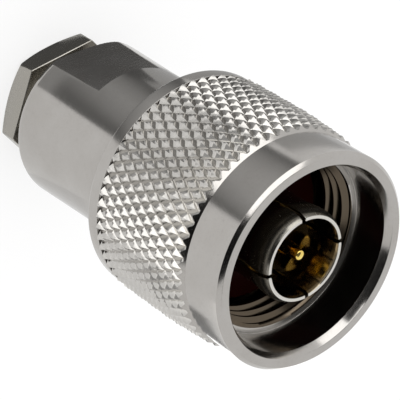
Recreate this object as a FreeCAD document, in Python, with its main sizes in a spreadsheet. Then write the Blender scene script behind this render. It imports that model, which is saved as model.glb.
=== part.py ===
"""N type coaxial plug of the clamp kind: a male plug for a 5 mm cable.

The plug stands on its clamp nut: Z is the plug's axis, Z = 0 is the clamp nut's rear face and the
mouth of the coupling nut is at the top. The flats of the body face along +Y and -Y. Millimetres.
"""

import FreeCAD
import Part
import Sketcher
import math
import os
import re

from FreeCAD import Placement, Rotation, Vector

UP = Vector(0, 0, 1)
ROUNDING = 1e-6
SHEET = "dims"

# The driving dimensions, as (name, value, meaning). A "radius" is measured from the plug's axis. A
# "depth" is measured down from the mouth, and a "reach" forward from the body's rear face.
DIMENSIONS = [
    # along the plug
    ("hex_length", 2.38, "thickness of the clamp nut's hexagon"),
    ("clamp_gap", 1.84, "gap between the hexagon and the body, with the clamp slack"),
    ("body_exposed", 15.33, "body seen behind the coupling nut"),
    ("nut_length", 17.42, "length of the coupling nut"),
    # coupling nut, outside
    ("ring_radius", 9.96, "smooth front ring"),
    ("ring_length", 4.41, "depth at which the front ring ends"),
    ("mouth_chamfer", 0.32, "chamfer on the ring's outer front edge"),
    ("rim_radius", 10.48, "smooth rear rim"),
    ("rim_length", 1.5, "length of the rear rim, behind the knurl"),
    ("rim_round", 0.3, "rounding of the rim's rear edge"),
    ("bore_chamfer", 0.15, "chamfer at the rear of the nut's bore"),
    # coupling nut, knurl
    ("knurl_crest_radius", 10.64, "points of the diamonds"),
    ("knurl_root_radius", 10.3, "corners between the diamonds"),
    ("knurl_depth", 4.9, "depth at which the diamonds begin"),
    ("knurl_lead", 0.26, "how much lower the first diamonds are than the others"),
    ("knurl_lead_length", 4.0, "length over which they rise to the full height"),
    ("diamond_length", 2.004, "length of a diamond along the axis, fitted to whole half diamonds"),
    ("diamond_columns", 60, "diamonds round the knurl"),
    ("knurl_turn", 0.15, "angle of the first column, degrees"),
    ("knurl_bite", 0.12, "how far the knurl reaches into the nut's core"),
    # coupling nut, inside
    ("mouth_radius", 8.86, "inner edge of the front face"),
    ("socket_radius", 8.51, "counterbore in front of the thread"),
    ("socket_chamfer", 0.67, "depth of the chamfer inside the mouth"),
    ("socket_depth", 4.15, "depth of the counterbore"),
    ("thread_minor_radius", 7.42, "coupling thread, 5/8-24, at its minor diameter"),
    ("thread_chamfer", 0.25, "chamfer at the thread's start"),
    ("thread_depth", 7.75, "depth at which the thread ends"),
    ("relief_radius", 8.1, "relief behind the thread"),
    ("relief_depth", 10.6, "depth at which the relief ends"),
    ("nut_running_clearance", 0.05, "radial clearance of the nut on the body"),
    # body
    ("body_radius", 7.65, "barrel"),
    ("body_rear_radius", 7.82, "barrel at its rear end"),
    ("taper_length", 8.0, "rear part of the barrel that tapers out to that radius"),
    ("rear_round", 1.0, "rounding of the barrel's rear edge"),
    ("body_front_depth", 9.8, "depth of the barrel's front face"),
    ("body_edge_chamfer", 0.25, "chamfer on the barrel's front edge"),
    ("flat_width", 13.7, "across the two wrench flats"),
    ("flat_length", 7.53, "length of the wrench flats"),
    ("flat_turn", 90, "angle of the first flat's normal, degrees"),
    ("line_radius", 3.5, "bore of the coaxial line, in the sleeve and the body"),
    ("spigot_radius", 4.6, "socket in the body for the sleeve's spigot"),
    ("spigot_length", 4.2, "length of that socket"),
    ("line_length", 4.0, "body's bore between the two insulators"),
    ("rear_seat_radius", 4.9, "seat of the rear insulator"),
    ("rear_seat_length", 3.3, "length of that seat"),
    ("clamp_bore_radius", 5.2, "smooth bore of the cable clamp"),
    ("clamp_thread_radius", 5.35, "body's rear thread, 7/16-28, at its pitch diameter"),
    ("clamp_thread_length", 6.15, "length of the rear thread"),
    ("thread_mouth_chamfer", 0.3, "chamfer at the rear thread's mouth"),
    # retaining ring
    ("ring_wire", 0.9, "axial thickness of the retaining ring"),
    ("ring_inner_radius", 7.0, "inside of the retaining ring"),
    ("ring_outer_radius", 8.3, "outside of the retaining ring"),
    ("ring_reach", 18.5, "reach of the ring's rear face"),
    ("ring_split", 2.4, "gap where the ring is split"),
    ("ring_side_clearance", 0.06, "on each face of the ring"),
    ("ring_radial_clearance", 0.12, "inside and outside the ring"),
    # contact sleeve
    ("sleeve_depth", 0.95, "depth of the sleeve's tip"),
    ("sleeve_tip_radius", 3.92, "outside of the tip's end face"),
    ("flare_radius", 4.28, "widest part of the flare"),
    ("flare_length", 1.0, "from the tip to the flare's widest part"),
    ("flare_land", 0.75, "straight land on the flare"),
    ("flare_back", 1.1, "taper from the land down to the shank"),
    ("shank_radius", 4.08, "shank of the sleeve"),
    ("slot_width", 0.35, "width of each slot"),
    ("slot_length", 6.6, "length of each slot"),
    ("slot_turn", 3.55, "angle of the first slot, degrees"),
    # mating gasket
    ("gasket_inner_radius", 4.4, "inside of the mating gasket"),
    ("gasket_outer_radius", 7.2, "outside of the mating gasket"),
    ("gasket_thickness", 1.65, "thickness of the mating gasket"),
    ("gasket_edge", 0.3, "bevel on the gasket's front edges"),
    # pin and insulators
    ("pin_depth", 1.5, "depth of the pin's tip"),
    ("pin_tip_radius", 0.46, "flat of the nose before it is rounded"),
    ("pin_radius", 0.82, "contact part of the pin"),
    ("pin_nose", 1.5, "length of the tapered nose"),
    ("pin_dome", 0.42, "rounding of the nose"),
    ("pin_shoulder_depth", 6.25, "depth of the pin's shoulder"),
    ("pin_collar_radius", 1.52, "pin behind the shoulder"),
    ("pin_shoulder_bevel", 0.12, "bevel on the shoulder"),
    ("bead_length", 2.6, "thickness of the front insulator"),
    ("bead_radius", 3.95, "outside of the front insulator"),
    ("bead_neck_radius", 1.3, "undercut of the pin in the front insulator"),
    ("solder_cup_radius", 0.75, "bore for the cable's conductor"),
    ("solder_cup_length", 3.6, "depth of that bore"),
    ("solder_hole_radius", 0.35, "solder hole into the cup"),
    ("pin_tail", 1.3, "pin behind the rear insulator"),
    ("seat_clearance", 0.01, "clearance of pieces pushed into their seats"),
    # cable clamp
    ("clamp_slide_clearance", 0.06, "radial clearance of the clamp's pieces"),
    ("clamp_thread_clearance", 0.05, "radial clearance of the clamp nut's thread"),
    ("clamp_flange", 1.0, "flange of the braid clamp"),
    ("clamp_ridge", 1.4, "conical ridge behind that flange"),
    ("clamp_ridge_radius", 4.3, "foot of the ridge"),
    ("clamp_ridge_tip_radius", 3.1, "tip of the ridge"),
    ("braid_bore_radius", 2.1, "bore of the braid clamp"),
    ("seal_length", 3.4, "length of the cable seal"),
    ("seal_bore_radius", 2.55, "bore of the cable seal"),
    ("washer_thickness", 0.8, "pressure washer"),
    ("washer_bore_radius", 2.95, "bore of the pressure washer"),
    ("neck_length", 4.79, "threaded neck of the clamp nut"),
    ("neck_chamfer", 0.3, "chamfer on the neck's front edge"),
    ("cable_bore_radius", 2.75, "bore of the clamp nut, for the cable"),
    ("cable_bore_chamfer", 0.4, "chamfer at the cable's entry"),
    ("hex_across_flats", 11.9, "clamp nut across its flats"),
    ("hex_chamfer", 0.95, "radial width of the turned chamfer on the hexagon's rear corners"),
    ("hex_chamfer_angle", 30, "angle between that chamfer and the rear face, degrees"),
    ("hex_turn", 8.4, "angle of the hexagon's first corner, degrees"),
]


NAMES = {name for name, _, _ in DIMENSIONS}

# Heights that several pieces share, each worked out from the sheet.
BODY_REAR = "( hex_length + clamp_gap )"
NUT_REAR = f"( {BODY_REAR} + body_exposed )"
MOUTH = f"( {NUT_REAR} + nut_length )"
BODY_FRONT = f"( {MOUTH} - body_front_depth )"
SPIGOT_FLOOR = f"( {BODY_FRONT} - spigot_length )"
LINE_FLOOR = f"( {SPIGOT_FLOOR} - line_length )"
SEAT_FLOOR = f"( {LINE_FLOOR} - rear_seat_length )"
THREAD_TOP = f"( {BODY_REAR} + clamp_thread_length )"
FLAT_TOP = f"( {BODY_REAR} + flat_length )"
RING_REAR = f"( {BODY_REAR} + ring_reach )"
RING_FRONT = f"( {RING_REAR} + ring_wire )"
SLEEVE_TIP = f"( {MOUTH} - sleeve_depth )"
PIN_TIP = f"( {MOUTH} - pin_depth )"
PIN_SHOULDER = f"( {MOUTH} - pin_shoulder_depth )"
BEAD_FRONT = f"( {SPIGOT_FLOOR} + bead_length )"
NECK_TOP = "( hex_length + neck_length )"
WASHER_TOP = f"( {NECK_TOP} + washer_thickness )"
SEAL_TOP = f"( {WASHER_TOP} + seal_length )"
FLANGE_TOP = f"( {SEAL_TOP} + clamp_flange )"
HEX_CORNER = "( hex_across_flats / 2 / cos(30) )"


doc = FreeCAD.newDocument("n_type_plug")


def make_sheet():
    """The spreadsheet: meaning, value and alias of each driving dimension."""
    sheet = doc.addObject("Spreadsheet::Sheet", SHEET)
    for row, (name, value, meaning) in enumerate(DIMENSIONS, start=1):
        sheet.set(f"A{row}", meaning)
        sheet.set(f"B{row}", str(value))
        sheet.setAlias(f"B{row}", name)
    doc.recompute()
    return sheet


dims = make_sheet()


def bound(expression):
    """The expression with each driving dimension's name turned into a reference to the sheet."""
    return re.sub(r"[a-z_]+", lambda m: f"{SHEET}.{m[0]}" if m[0] in NAMES else m[0], expression)


def bind(item, **expressions):
    for name, expression in expressions.items():
        item.setExpression(name, bound(expression))


def turn(item, angle):
    """Turns a finished piece about the plug's axis."""
    item.Placement = Placement(Vector(), Rotation(UP, 1))
    item.setExpression("Placement.Rotation.Angle", bound(angle))


def origin_plane(body, role):
    return next(item for item in body.Origin.OriginFeatures if item.Role == role)


def section(body, name, corners):
    """A closed outline in the body's XZ plane. Each corner is (radius, height), as expressions."""
    sketch = body.newObject("Sketcher::SketchObject", name)
    sketch.AttachmentSupport = [(origin_plane(body, "XZ_Plane"), "")]
    sketch.MapMode = "FlatFace"
    count = len(corners)
    start = [
        Vector(10 + 5 * math.cos(math.tau * k / count), 10 + 5 * math.sin(math.tau * k / count), 0)
        for k in range(count)
    ]
    for k in range(count):
        sketch.addGeometry(Part.LineSegment(start[k], start[(k + 1) % count]), False)
    for k in range(count):
        sketch.addConstraint(Sketcher.Constraint("Coincident", k, 2, (k + 1) % count, 1))
    for k, (radius, height) in enumerate(corners):
        if radius == "0":
            sketch.addConstraint(Sketcher.Constraint("PointOnObject", k, 1, -2))
        else:
            where = sketch.addConstraint(Sketcher.Constraint("DistanceX", -1, 1, k, 1, start[k].x))
            sketch.setExpression(f"Constraints[{where}]", bound(radius))
        if height == "0":
            sketch.addConstraint(Sketcher.Constraint("PointOnObject", k, 1, -1))
        else:
            where = sketch.addConstraint(Sketcher.Constraint("DistanceY", -1, 1, k, 1, start[k].y))
            sketch.setExpression(f"Constraints[{where}]", bound(height))
    return sketch


def turned(name, corners):
    """A body turned about the plug's axis from the outline of its section."""
    body = doc.addObject("PartDesign::Body", name)
    body.Label = name
    sketch = section(body, f"{name}_outline", corners)
    turning = body.newObject("PartDesign::Revolution", f"{name}_turning")
    turning.Profile = sketch
    turning.ReferenceAxis = (sketch, ["V_Axis"])
    turning.Angle = 360
    doc.recompute()
    return body


def milled(body, name, corners, width, count=1):
    """Cuts an outline of the XZ plane out of the body, to a width across that plane.

    With a count, the cut is repeated evenly round the axis.
    """
    before = body.Shape.Volume
    cut = body.newObject("PartDesign::Pocket", name)
    cut.Profile = section(body, f"{name}_outline", corners)
    cut.Midplane = True
    bind(cut, Length=width)
    doc.recompute()
    if count != 1:
        pattern = body.newObject("PartDesign::PolarPattern", f"{name}_pattern")
        pattern.Originals = [cut]
        pattern.Axis = (origin_axis(body), [""])
        pattern.Angle = 360
        bind(pattern, Occurrences=str(count))
        body.Tip = pattern
        doc.recompute()
    if body.Shape.Volume > before - 1e-3:
        raise RuntimeError(f"{name} cuts nothing")


def origin_axis(body):
    return next(item for item in body.Origin.OriginFeatures if item.Role == "Z_Axis")


def rounded(body, name, radius, size, last):
    """Rounds one circular edge of the body: the highest or, with last=False, the lowest one of that
    radius."""
    rings = [
        (edge.Curve.Center.z, f"Edge{index}")
        for index, edge in enumerate(body.Shape.Edges, start=1)
        if isinstance(edge.Curve, Part.Circle)
        and abs(edge.Curve.Radius - dims.get(radius)) < ROUNDING
    ]
    if not rings:
        raise RuntimeError(f"{name} finds no edge to round")
    solid = body.Tip
    fillet = body.newObject("PartDesign::Fillet", name)
    fillet.Base = (solid, [(max if last else min)(rings)[1]])
    bind(fillet, Radius=size)
    doc.recompute()


def boolean(kind, name, base, tool):
    item = doc.addObject(kind, name)
    item.Label = name
    item.Base = base
    item.Tool = tool
    doc.recompute()
    return item


def knurled_bar():
    """A bar with a diamond knurl all round, from half a diamond in front of the knurl to its end.

    Straight grooves cross and leave four-sided points. The points and the corners between them
    alternate on a grid that is half a diamond each way, so every facet is a flat triangle.
    """
    columns = 2 * round(dims.get("diamond_columns"))
    end = sum(dims.get(n) for n in ("hex_length", "clamp_gap", "body_exposed", "rim_length"))
    length = dims.get("nut_length") - dims.get("rim_length") - dims.get("knurl_depth")
    rows = round(length / (dims.get("diamond_length") / 2))
    half = length / rows
    radii = (dims.get("knurl_root_radius"), dims.get("knurl_crest_radius"))

    def node(column, row):
        angle = math.radians(dims.get("knurl_turn") + 360 * column / columns)
        lead = max(0, 1 - max(row, 0) * half / dims.get("knurl_lead_length"))
        radius = radii[(column + row) % 2] - dims.get("knurl_lead") * lead
        height = end + length - row * half
        return Vector(radius * math.cos(angle), radius * math.sin(angle), height)

    def facet(*corners):
        return Part.Face(Part.makePolygon([*corners, corners[0]]))

    facets = [facet(*(node(column, row) for column in range(columns))) for row in (-1, rows)]
    for row in range(-1, rows):
        for column in range(columns):
            here = node(column, row)
            beside = node(column + 1, row)
            below = node(column, row + 1)
            across = node(column + 1, row + 1)
            if (column + row) % 2:
                facets += [facet(here, beside, below), facet(beside, across, below)]
            else:
                facets += [facet(here, beside, across), facet(here, across, below)]
    skin = Part.Shell(facets)
    skin.sewShape()
    bar = doc.addObject("Part::Feature", "knurled_bar")
    bar.Shape = Part.Solid(skin)
    return bar


def coupling_nut():
    """The knurled nut: a turned blank, and the knurl rolled on it behind the front ring."""
    ring_end = f"( {MOUTH} - ring_length )"
    knurl_end = f"( {NUT_REAR} + rim_length )"
    groove_radius = "( ring_outer_radius + ring_radial_clearance )"
    bore = "( body_radius + nut_running_clearance )"
    lowest = "min(knurl_root_radius; knurl_crest_radius)"
    highest = "max(knurl_root_radius; knurl_crest_radius)"
    core = f"( {lowest} - knurl_lead - knurl_bite )"
    thread_end = f"( {MOUTH} - thread_depth )"
    blank = turned("coupling_nut_blank", [
        ("mouth_radius", MOUTH),
        ("ring_radius - mouth_chamfer", MOUTH),
        ("ring_radius", f"{MOUTH} - mouth_chamfer"),
        ("ring_radius", ring_end),
        (core, ring_end),
        (core, knurl_end),
        ("rim_radius", knurl_end),
        ("rim_radius", NUT_REAR),
        (f"{bore} + bore_chamfer", NUT_REAR),
        (bore, f"{NUT_REAR} + bore_chamfer"),
        (bore, f"{RING_REAR} - ring_side_clearance"),
        (groove_radius, f"{RING_REAR} - ring_side_clearance"),
        (groove_radius, f"{RING_FRONT} + ring_side_clearance"),
        (bore, f"{RING_FRONT} + ring_side_clearance"),
        (bore, f"{MOUTH} - relief_depth"),
        ("relief_radius", f"{MOUTH} - relief_depth"),
        ("relief_radius", thread_end),
        ("thread_minor_radius", thread_end),
        ("thread_minor_radius", f"{MOUTH} - socket_depth - thread_chamfer"),
        ("thread_minor_radius + thread_chamfer", f"{MOUTH} - socket_depth"),
        ("socket_radius", f"{MOUTH} - socket_depth"),
        ("socket_radius", f"{MOUTH} - socket_chamfer"),
    ])
    rounded(blank, "rim_rounding", "rim_radius", "rim_round", last=False)
    rise = f"( {highest} + knurl_bite - ring_radius )"
    envelope = turned("knurl_envelope", [
        (f"{core} - knurl_bite", ring_end),
        ("ring_radius", ring_end),
        (f"ring_radius + {rise}", f"{ring_end} - {rise}"),
        (f"ring_radius + {rise}", knurl_end),
        (f"{core} - knurl_bite", knurl_end),
    ])
    band = boolean("Part::Common", "knurl_band", knurled_bar(), envelope)
    return boolean("Part::Fuse", "coupling_nut", blank, band)


def nut_retaining_ring():
    """The split ring that holds the nut on the body, half in a groove of each."""
    ring = turned("nut_retaining_ring", [
        ("ring_inner_radius", RING_REAR),
        ("ring_outer_radius", RING_REAR),
        ("ring_outer_radius", RING_FRONT),
        ("ring_inner_radius", RING_FRONT),
    ])
    milled(ring, "ring_gap", [
        ("ring_inner_radius / 2", f"{RING_REAR} - ring_wire"),
        ("2 * ring_outer_radius", f"{RING_REAR} - ring_wire"),
        ("2 * ring_outer_radius", f"{RING_FRONT} + ring_wire"),
        ("ring_inner_radius / 2", f"{RING_FRONT} + ring_wire"),
    ], "ring_split")
    return ring


def plug_body():
    """The barrel: sleeve socket, line, insulator seat and cable clamp in one bore, two flats."""
    groove_radius = "( ring_inner_radius - ring_radial_clearance )"
    body = turned("plug_body", [
        ("spigot_radius", BODY_FRONT),
        ("body_radius - body_edge_chamfer", BODY_FRONT),
        ("body_radius", f"{BODY_FRONT} - body_edge_chamfer"),
        ("body_radius", f"{RING_FRONT} + ring_side_clearance"),
        (groove_radius, f"{RING_FRONT} + ring_side_clearance"),
        (groove_radius, f"{RING_REAR} - ring_side_clearance"),
        ("body_radius", f"{RING_REAR} - ring_side_clearance"),
        ("body_radius", f"{BODY_REAR} + taper_length"),
        ("body_rear_radius", BODY_REAR),
        ("clamp_thread_radius + thread_mouth_chamfer", BODY_REAR),
        ("clamp_thread_radius", f"{BODY_REAR} + thread_mouth_chamfer"),
        ("clamp_thread_radius", THREAD_TOP),
        ("clamp_bore_radius", THREAD_TOP),
        ("clamp_bore_radius", SEAT_FLOOR),
        ("rear_seat_radius", SEAT_FLOOR),
        ("rear_seat_radius", LINE_FLOOR),
        ("line_radius", LINE_FLOOR),
        ("line_radius", SPIGOT_FLOOR),
        ("spigot_radius", SPIGOT_FLOOR),
    ])
    rounded(body, "rear_rounding", "body_rear_radius", "rear_round", last=False)
    milled(body, "wrench_flats", [
        ("flat_width / 2", FLAT_TOP),
        ("2 * body_rear_radius", FLAT_TOP),
        ("2 * body_rear_radius", "0"),
        ("flat_width / 2", "0"),
    ], "4 * body_rear_radius", count=2)
    turn(body, "flat_turn")
    return body


def contact_sleeve():
    """The outer contact: a tube with a flared tip, slotted into springy fingers."""
    spigot = "( spigot_radius - seat_clearance )"
    foot = f"( {SPIGOT_FLOOR} + seat_clearance )"
    widest = f"( {SLEEVE_TIP} - flare_length )"
    land_end = f"( {widest} - flare_land )"
    sleeve = turned("contact_sleeve", [
        ("line_radius", SLEEVE_TIP),
        ("sleeve_tip_radius", SLEEVE_TIP),
        ("flare_radius", widest),
        ("flare_radius", land_end),
        ("shank_radius", f"{land_end} - flare_back"),
        ("shank_radius", BODY_FRONT),
        (spigot, BODY_FRONT),
        (spigot, foot),
        ("bead_radius + seat_clearance", foot),
        ("bead_radius + seat_clearance", f"{BEAD_FRONT} + seat_clearance"),
        ("line_radius", f"{BEAD_FRONT} + seat_clearance"),
    ])
    milled(sleeve, "slots", [
        ("line_radius / 2", f"{SLEEVE_TIP} - slot_length"),
        ("2 * flare_radius", f"{SLEEVE_TIP} - slot_length"),
        ("2 * flare_radius", f"{SLEEVE_TIP} + flare_length"),
        ("line_radius / 2", f"{SLEEVE_TIP} + flare_length"),
    ], "slot_width", count=4)
    turn(sleeve, "slot_turn")
    return sleeve


def mating_gasket():
    """The silicone ring that the mating connector's rim presses on the body's front face."""
    top = f"( {BODY_FRONT} + gasket_thickness )"
    return turned("mating_gasket", [
        ("gasket_inner_radius", BODY_FRONT),
        ("gasket_outer_radius", BODY_FRONT),
        ("gasket_outer_radius", f"{top} - gasket_edge"),
        ("gasket_outer_radius - gasket_edge", top),
        ("gasket_inner_radius + gasket_edge", top),
        ("gasket_inner_radius", f"{top} - gasket_edge"),
    ])


def contact_pin():
    """The centre contact, undercut where the front insulator holds it, with a solder cup."""
    tail = f"( {SEAT_FLOOR} - pin_tail )"
    pin = turned("contact_pin", [
        ("0", PIN_TIP),
        ("pin_tip_radius", PIN_TIP),
        ("pin_radius", f"{PIN_TIP} - pin_nose"),
        ("pin_radius", PIN_SHOULDER),
        ("pin_collar_radius - pin_shoulder_bevel", PIN_SHOULDER),
        ("pin_collar_radius", f"{PIN_SHOULDER} - pin_shoulder_bevel"),
        ("pin_collar_radius", f"{BEAD_FRONT} + seat_clearance"),
        ("bead_neck_radius", f"{BEAD_FRONT} + seat_clearance"),
        ("bead_neck_radius", SPIGOT_FLOOR),
        ("pin_collar_radius", SPIGOT_FLOOR),
        ("pin_collar_radius", tail),
        ("solder_cup_radius", tail),
        ("solder_cup_radius", f"{tail} + solder_cup_length"),
        ("0", f"{tail} + solder_cup_length + solder_cup_radius"),
    ])
    rounded(pin, "nose_rounding", "pin_tip_radius", "pin_dome", last=True)
    hole = doc.addObject("Part::Cylinder", "solder_hole")
    hole.Placement = Placement(Vector(), Rotation(Vector(0, 1, 0), 90))
    bind(hole, Radius="solder_hole_radius", Height="2 * pin_collar_radius")
    hole.setExpression("Placement.Base.z", bound(f"{tail} + pin_tail / 2"))
    pin.Label = "contact_pin_turned"
    return boolean("Part::Cut", "contact_pin", pin, hole)


def front_insulator():
    """The bead between the sleeve and the body's step, which carries the pin."""
    return turned("front_insulator", [
        ("bead_neck_radius + seat_clearance", SPIGOT_FLOOR),
        ("bead_radius", SPIGOT_FLOOR),
        ("bead_radius", BEAD_FRONT),
        ("bead_neck_radius + seat_clearance", BEAD_FRONT),
    ])


def rear_insulator():
    """The bead in the body's rear seat, which holds the pin's tail in the middle."""
    return turned("rear_insulator", [
        ("pin_collar_radius + seat_clearance", SEAT_FLOOR),
        ("rear_seat_radius - seat_clearance", SEAT_FLOOR),
        ("rear_seat_radius - seat_clearance", LINE_FLOOR),
        ("pin_collar_radius + seat_clearance", LINE_FLOOR),
    ])


def braid_clamp():
    """The flanged ring that the braid is folded over, with a ridge that bites into the seal."""
    outer = "( clamp_bore_radius - clamp_slide_clearance )"
    return turned("braid_clamp", [
        ("braid_bore_radius", FLANGE_TOP),
        (outer, FLANGE_TOP),
        (outer, SEAL_TOP),
        ("clamp_ridge_radius", SEAL_TOP),
        ("clamp_ridge_tip_radius", f"{SEAL_TOP} - clamp_ridge"),
        ("braid_bore_radius", f"{SEAL_TOP} - clamp_ridge"),
    ])


def cable_seal():
    """The rubber ring round the cable's jacket, with a cone that takes the clamp's ridge."""
    outer = "( clamp_bore_radius - clamp_slide_clearance )"
    slack = "seat_clearance"
    return turned("cable_seal", [
        ("seal_bore_radius", WASHER_TOP),
        (outer, WASHER_TOP),
        (outer, SEAL_TOP),
        (f"clamp_ridge_radius + {slack}", SEAL_TOP),
        (f"clamp_ridge_tip_radius + {slack}", f"{SEAL_TOP} - clamp_ridge - {slack}"),
        ("seal_bore_radius", f"{SEAL_TOP} - clamp_ridge - {slack}"),
    ])


def pressure_washer():
    """The flat washer that lets the clamp nut turn against the seal."""
    return turned("pressure_washer", [
        ("washer_bore_radius", NECK_TOP),
        ("clamp_bore_radius - clamp_slide_clearance", NECK_TOP),
        ("clamp_bore_radius - clamp_slide_clearance", WASHER_TOP),
        ("washer_bore_radius", WASHER_TOP),
    ])


def clamp_nut():
    """The rear nut, turned from hexagonal bar: neck, hexagon and cable bore."""
    neck = "( clamp_thread_radius - clamp_thread_clearance )"
    rear_radius = f"( {HEX_CORNER} - hex_chamfer )"
    blank = turned("clamp_nut_blank", [
        ("cable_bore_radius + cable_bore_chamfer", "0"),
        (rear_radius, "0"),
        (f"{HEX_CORNER} + hex_chamfer", "2 * hex_chamfer * tan(hex_chamfer_angle)"),
        (f"{HEX_CORNER} + hex_chamfer", "hex_length"),
        (neck, "hex_length"),
        (neck, f"{NECK_TOP} - neck_chamfer"),
        (f"{neck} - neck_chamfer", NECK_TOP),
        ("cable_bore_radius", NECK_TOP),
        ("cable_bore_radius", "cable_bore_chamfer"),
    ])
    bar = doc.addObject("Part::Prism", "hexagonal_bar")
    bar.Polygon = 6
    bind(bar, Circumradius=HEX_CORNER, Height=NECK_TOP)
    turn(bar, "hex_turn")
    return boolean("Part::Common", "clamp_nut", blank, bar)


PIECES = (
    coupling_nut,
    nut_retaining_ring,
    plug_body,
    contact_sleeve,
    mating_gasket,
    contact_pin,
    front_insulator,
    rear_insulator,
    braid_clamp,
    cable_seal,
    pressure_washer,
    clamp_nut,
)


def check(pieces):
    """Stops the build if anything failed to compute, or if a piece isn't one valid solid."""
    for item in doc.Objects:
        if {"Invalid", "Error"} & set(item.State):
            raise RuntimeError(f"{item.Label} failed to compute: {item.State}")
    for piece in pieces:
        shape = piece.Shape
        if shape.isNull() or not shape.isValid() or len(shape.Solids) != 1:
            raise RuntimeError(f"{piece.Label} is not one valid solid")


def main():
    pieces = [make() for make in PIECES]
    doc.recompute()
    check(pieces)
    os.makedirs("parts", exist_ok=True)
    for piece in pieces:
        piece.Shape.exportStep(f"parts/{piece.Label}.step")
        print(f"{piece.Label}: {piece.Shape.Volume:.1f} mm3, {len(piece.Shape.Faces)} faces")


main()
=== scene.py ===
"""Dresses the N type plug: finely turned meshes for its visible pieces, their finishes and a studio.

Lengths are in metres. The plug stands on its clamp nut with its axis on Z and its mouth upward.
"""

import math

import bmesh
import bpy
import numpy as np
from bpy.props import FloatProperty, FloatVectorProperty, IntProperty, PointerProperty
from mathutils import Matrix, Vector


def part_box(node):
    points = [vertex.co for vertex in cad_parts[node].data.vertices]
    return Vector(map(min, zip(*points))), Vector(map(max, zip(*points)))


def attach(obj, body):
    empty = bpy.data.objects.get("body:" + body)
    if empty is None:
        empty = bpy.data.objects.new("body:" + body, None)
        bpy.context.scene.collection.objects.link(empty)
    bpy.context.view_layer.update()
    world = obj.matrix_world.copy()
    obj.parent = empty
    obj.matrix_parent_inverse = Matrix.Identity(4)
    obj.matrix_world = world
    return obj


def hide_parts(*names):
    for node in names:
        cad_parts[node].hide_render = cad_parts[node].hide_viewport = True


bl_info = {
    "name": "N Type Plug",
    "version": (1, 0),
    "blender": (4, 5, 0),
    "location": "3D View > Sidebar > Plug",
    "description": "Turned pieces, finishes and studio of a coaxial clamp plug",
    "category": "Object",
}

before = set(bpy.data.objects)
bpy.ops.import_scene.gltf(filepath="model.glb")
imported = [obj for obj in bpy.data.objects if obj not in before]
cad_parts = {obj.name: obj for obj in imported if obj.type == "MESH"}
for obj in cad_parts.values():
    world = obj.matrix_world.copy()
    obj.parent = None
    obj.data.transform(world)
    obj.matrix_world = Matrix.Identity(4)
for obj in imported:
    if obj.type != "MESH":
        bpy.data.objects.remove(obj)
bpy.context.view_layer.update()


def heights(node):
    """A node's lowest and highest points."""
    low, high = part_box(node)
    return low.z, high.z


def reach(node):
    """A node's outer radius."""
    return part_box(node)[1].x


MM = 0.001
NUT_REAR, MOUTH = heights("coupling_nut")
BODY_REAR, BODY_FRONT = heights("plug_body")
SLEEVE_FOOT, SLEEVE_TIP = heights("contact_sleeve")
SLEEVE_SEAT = reach("contact_sleeve")
PIN_FOOT, PIN_TIP = heights("contact_pin")
BEAD_FRONT = heights("front_insulator")[1]
BEAD_RADIUS = reach("front_insulator")
SEAT_REAR, SEAT_FRONT = heights("rear_insulator")
SEAT_RADIUS = reach("rear_insulator")
GASKET_FRONT = heights("mating_gasket")[1]
NECK_FRONT = heights("clamp_nut")[1]
RING_REAR, RING_FRONT = heights("nut_retaining_ring")
RING_ROOM = 0.06 * MM  # between the retaining ring and either end of its groove

LATHE_COLUMNS = 360
WELD = 4e-7  # points nearer than this are one
SHARP = math.radians(40)  # edges that turn by more than this stay sharp
LONGEST_FILLET = 0.45  # share of a side that one corner's rounding may take
RUN_OUT = 1.2  # how fast a thread rises from nothing at its end


def length(name, millimetres, description):
    return FloatProperty(
        name=name, description=description, default=millimetres * MM, unit="LENGTH", precision=5
    )


def angle(name, degrees, description):
    return FloatProperty(
        name=name, description=description, default=math.radians(degrees), subtype="ANGLE"
    )


def colour(name, red, green, blue, description):
    return FloatVectorProperty(
        name=name, description=description, default=(red, green, blue), subtype="COLOR",
        size=3, min=0, max=1,
    )


def factor(name, value, description):
    return FloatProperty(name=name, description=description, default=value, min=0)


# ---------------------------------------------------------------- sizes and colours


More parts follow.
